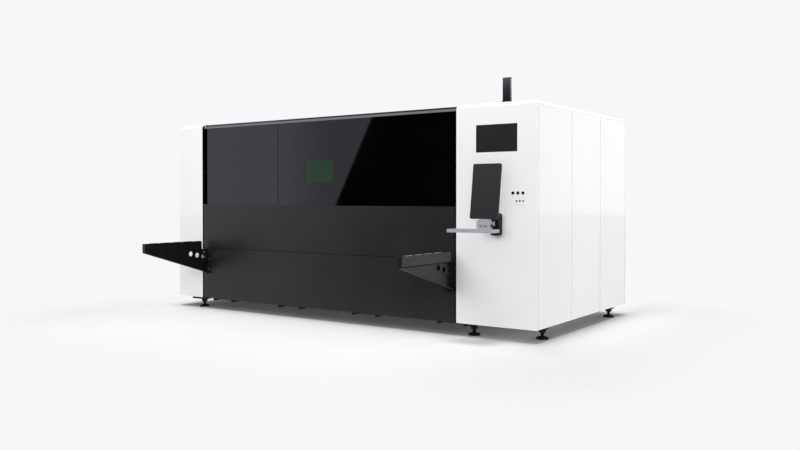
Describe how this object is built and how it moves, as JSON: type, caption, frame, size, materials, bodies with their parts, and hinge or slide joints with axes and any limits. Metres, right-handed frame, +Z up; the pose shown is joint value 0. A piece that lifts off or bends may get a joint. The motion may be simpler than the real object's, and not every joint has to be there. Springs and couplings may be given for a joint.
{
  "type": "fiber laser cutting machine",
  "caption": "Enclosed fiber laser cutter: long black front with a lift door, roll-out slat table, gantry cutting head, white control cabinet with swivel console.",
  "frame": {"origin": "on the floor, under the middle of the machine's outline with its support arms", "axes": "+X along the length towards the control cabinet, +Y towards the back, +Z up"},
  "size_m": [4.456, 2.994, 2.267],
  "materials": {
    "white_paint": "semi-gloss powder coat",
    "black_paint": "gloss charcoal coat",
    "dark_paint": "satin black coat",
    "grey_strip": "satin anodised",
    "bed_paint": "grey primer coat",
    "bare_steel": "ground",
    "slat_steel": "hot rolled",
    "cast_alloy": "machined",
    "copper_alloy": "turned",
    "nylon": "moulded",
    "green_glass": "laser filter",
    "dark_glass": "screen glass",
    "tablet_shell": "moulded",
    "console_grey": "satin grey coat",
    "button_black": "moulded",
    "lamp_grey": "moulded",
    "tower_smoke": "smoked lens",
    "motor_black": "black coat"
  },
  "bodies": {
    "machine_frame": {"bed_frame": "bed_paint", "cross_channels": "dark_paint", "levelling_feet": "dark_paint", "foot_sockets": "dark_paint", "left_column_cover": "white_paint", "chamber_walls": "bed_paint", "cabinet_front_panel": "white_paint", "display_screen": "dark_glass", "button_collars": "button_black", "indicator_lamps": "lamp_grey", "cabinet_roof": "white_paint", "cabinet_rear_panel": "white_paint", "door_pivots": "bare_steel", "front_skirt": "black_paint", "upper_left_panel": "black_paint", "upper_right_panel": "black_paint", "viewing_window": "green_glass", "door_guides": "dark_paint", "top_trim": "grey_strip", "chamber_roof": "black_paint", "chamber_rear_panels": "black_paint", "support_arm_left": "dark_paint", "support_arm_right": "dark_paint", "slide_pads": "nylon", "table_beams": "bed_paint", "table_rails": "bare_steel", "slag_tray": "bed_paint", "gantry_rail_beams": "bed_paint", "gantry_rails": "bare_steel", "equipment_deck": "bed_paint", "laser_source": "console_grey", "control_box": "console_grey", "tower_base": "dark_paint", "tower_lamp": "tower_smoke", "console_bracket": "dark_paint"},
    "work_table": {"table_frame": "bed_paint", "slat_combs": "bare_steel", "table_slats": "slat_steel", "table_carriages": "bare_steel"},
    "front_lift_door": {"lift_door": "black_paint", "door_runners": "nylon"},
    "gantry": {"gantry_carriages": "bare_steel", "gantry_end_plates": "cast_alloy", "gantry_motors": "motor_black", "gantry_bridge": "cast_alloy", "head_rails": "bare_steel"},
    "traverse": {"head_carriage": "cast_alloy"},
    "laser_head": {"cutting_head": "cast_alloy", "cutting_nozzle": "copper_alloy"},
    "front_side_door": {"side_door_front": "white_paint"},
    "middle_side_door": {"side_door_middle": "white_paint"},
    "rear_side_door": {"side_door_rear": "white_paint"},
    "left_button": {"push_button_left": "button_black"},
    "middle_button": {"push_button_middle": "button_black"},
    "right_button": {"push_button_right": "button_black"},
    "console": {"console_neck": "console_grey", "keyboard_tray": "console_grey"},
    "display_tablet": {"tablet": "tablet_shell", "tablet_screen": "dark_glass"}
  },
  "joints": [
    {"name": "table_slide", "type": "slide", "parent": "machine_frame", "child": "work_table", "axis": [0, -1, 0], "range_m": [0, 1.5]},
    {"name": "door_lift", "type": "slide", "parent": "machine_frame", "child": "front_lift_door", "axis": [0, 0, 1], "range_m": [0, 0.78]},
    {"name": "gantry_travel", "type": "slide", "parent": "machine_frame", "child": "gantry", "axis": [-1, 0, 0], "range_m": [0, 3]},
    {"name": "head_traverse", "type": "slide", "parent": "gantry", "child": "traverse", "axis": [0, -1, 0], "range_m": [0, 1.5]},
    {"name": "head_lift", "type": "slide", "parent": "traverse", "child": "laser_head", "axis": [0, 0, 1], "range_m": [-0.11, 0]},
    {"name": "console_swivel", "type": "hinge", "parent": "machine_frame", "child": "console", "pos_m": [1.8635, -0.766, 0.974], "axis": [0, 0, 1], "range_deg": [-6, 45]},
    {"name": "tablet_tilt", "type": "hinge", "parent": "console", "child": "display_tablet", "pos_m": [1.812, -0.821, 1.024], "axis": [1, 0, 0], "range_deg": [-3, 25]},
    {"name": "front_door_hinge", "type": "hinge", "parent": "machine_frame", "child": "front_side_door", "pos_m": [2.2155, -0.6265, 0.112], "axis": [0, 0, -1], "range_deg": [0, 100]},
    {"name": "middle_door_hinge", "type": "hinge", "parent": "machine_frame", "child": "middle_side_door", "pos_m": [2.2155, 0.07717, 0.112], "axis": [0, 0, -1], "range_deg": [0, 100]},
    {"name": "rear_door_hinge", "type": "hinge", "parent": "machine_frame", "child": "rear_side_door", "pos_m": [2.2155, 0.78083, 0.112], "axis": [0, 0, -1], "range_deg": [0, 100]},
    {"name": "right_button_press", "type": "slide", "parent": "machine_frame", "child": "right_button", "axis": [0, 1, 0], "range_m": [0, 0.004], "stiffness_N_per_m": 400},
    {"name": "middle_button_press", "type": "slide", "parent": "machine_frame", "child": "middle_button", "axis": [0, 1, 0], "range_m": [0, 0.004], "stiffness_N_per_m": 400},
    {"name": "left_button_press", "type": "slide", "parent": "machine_frame", "child": "left_button", "axis": [0, 1, 0], "range_m": [0, 0.004], "stiffness_N_per_m": 400}
  ],
  "couplings": [
    {"joint": "door_lift", "follows": "table_slide", "ratio": 0.52}
  ]
}
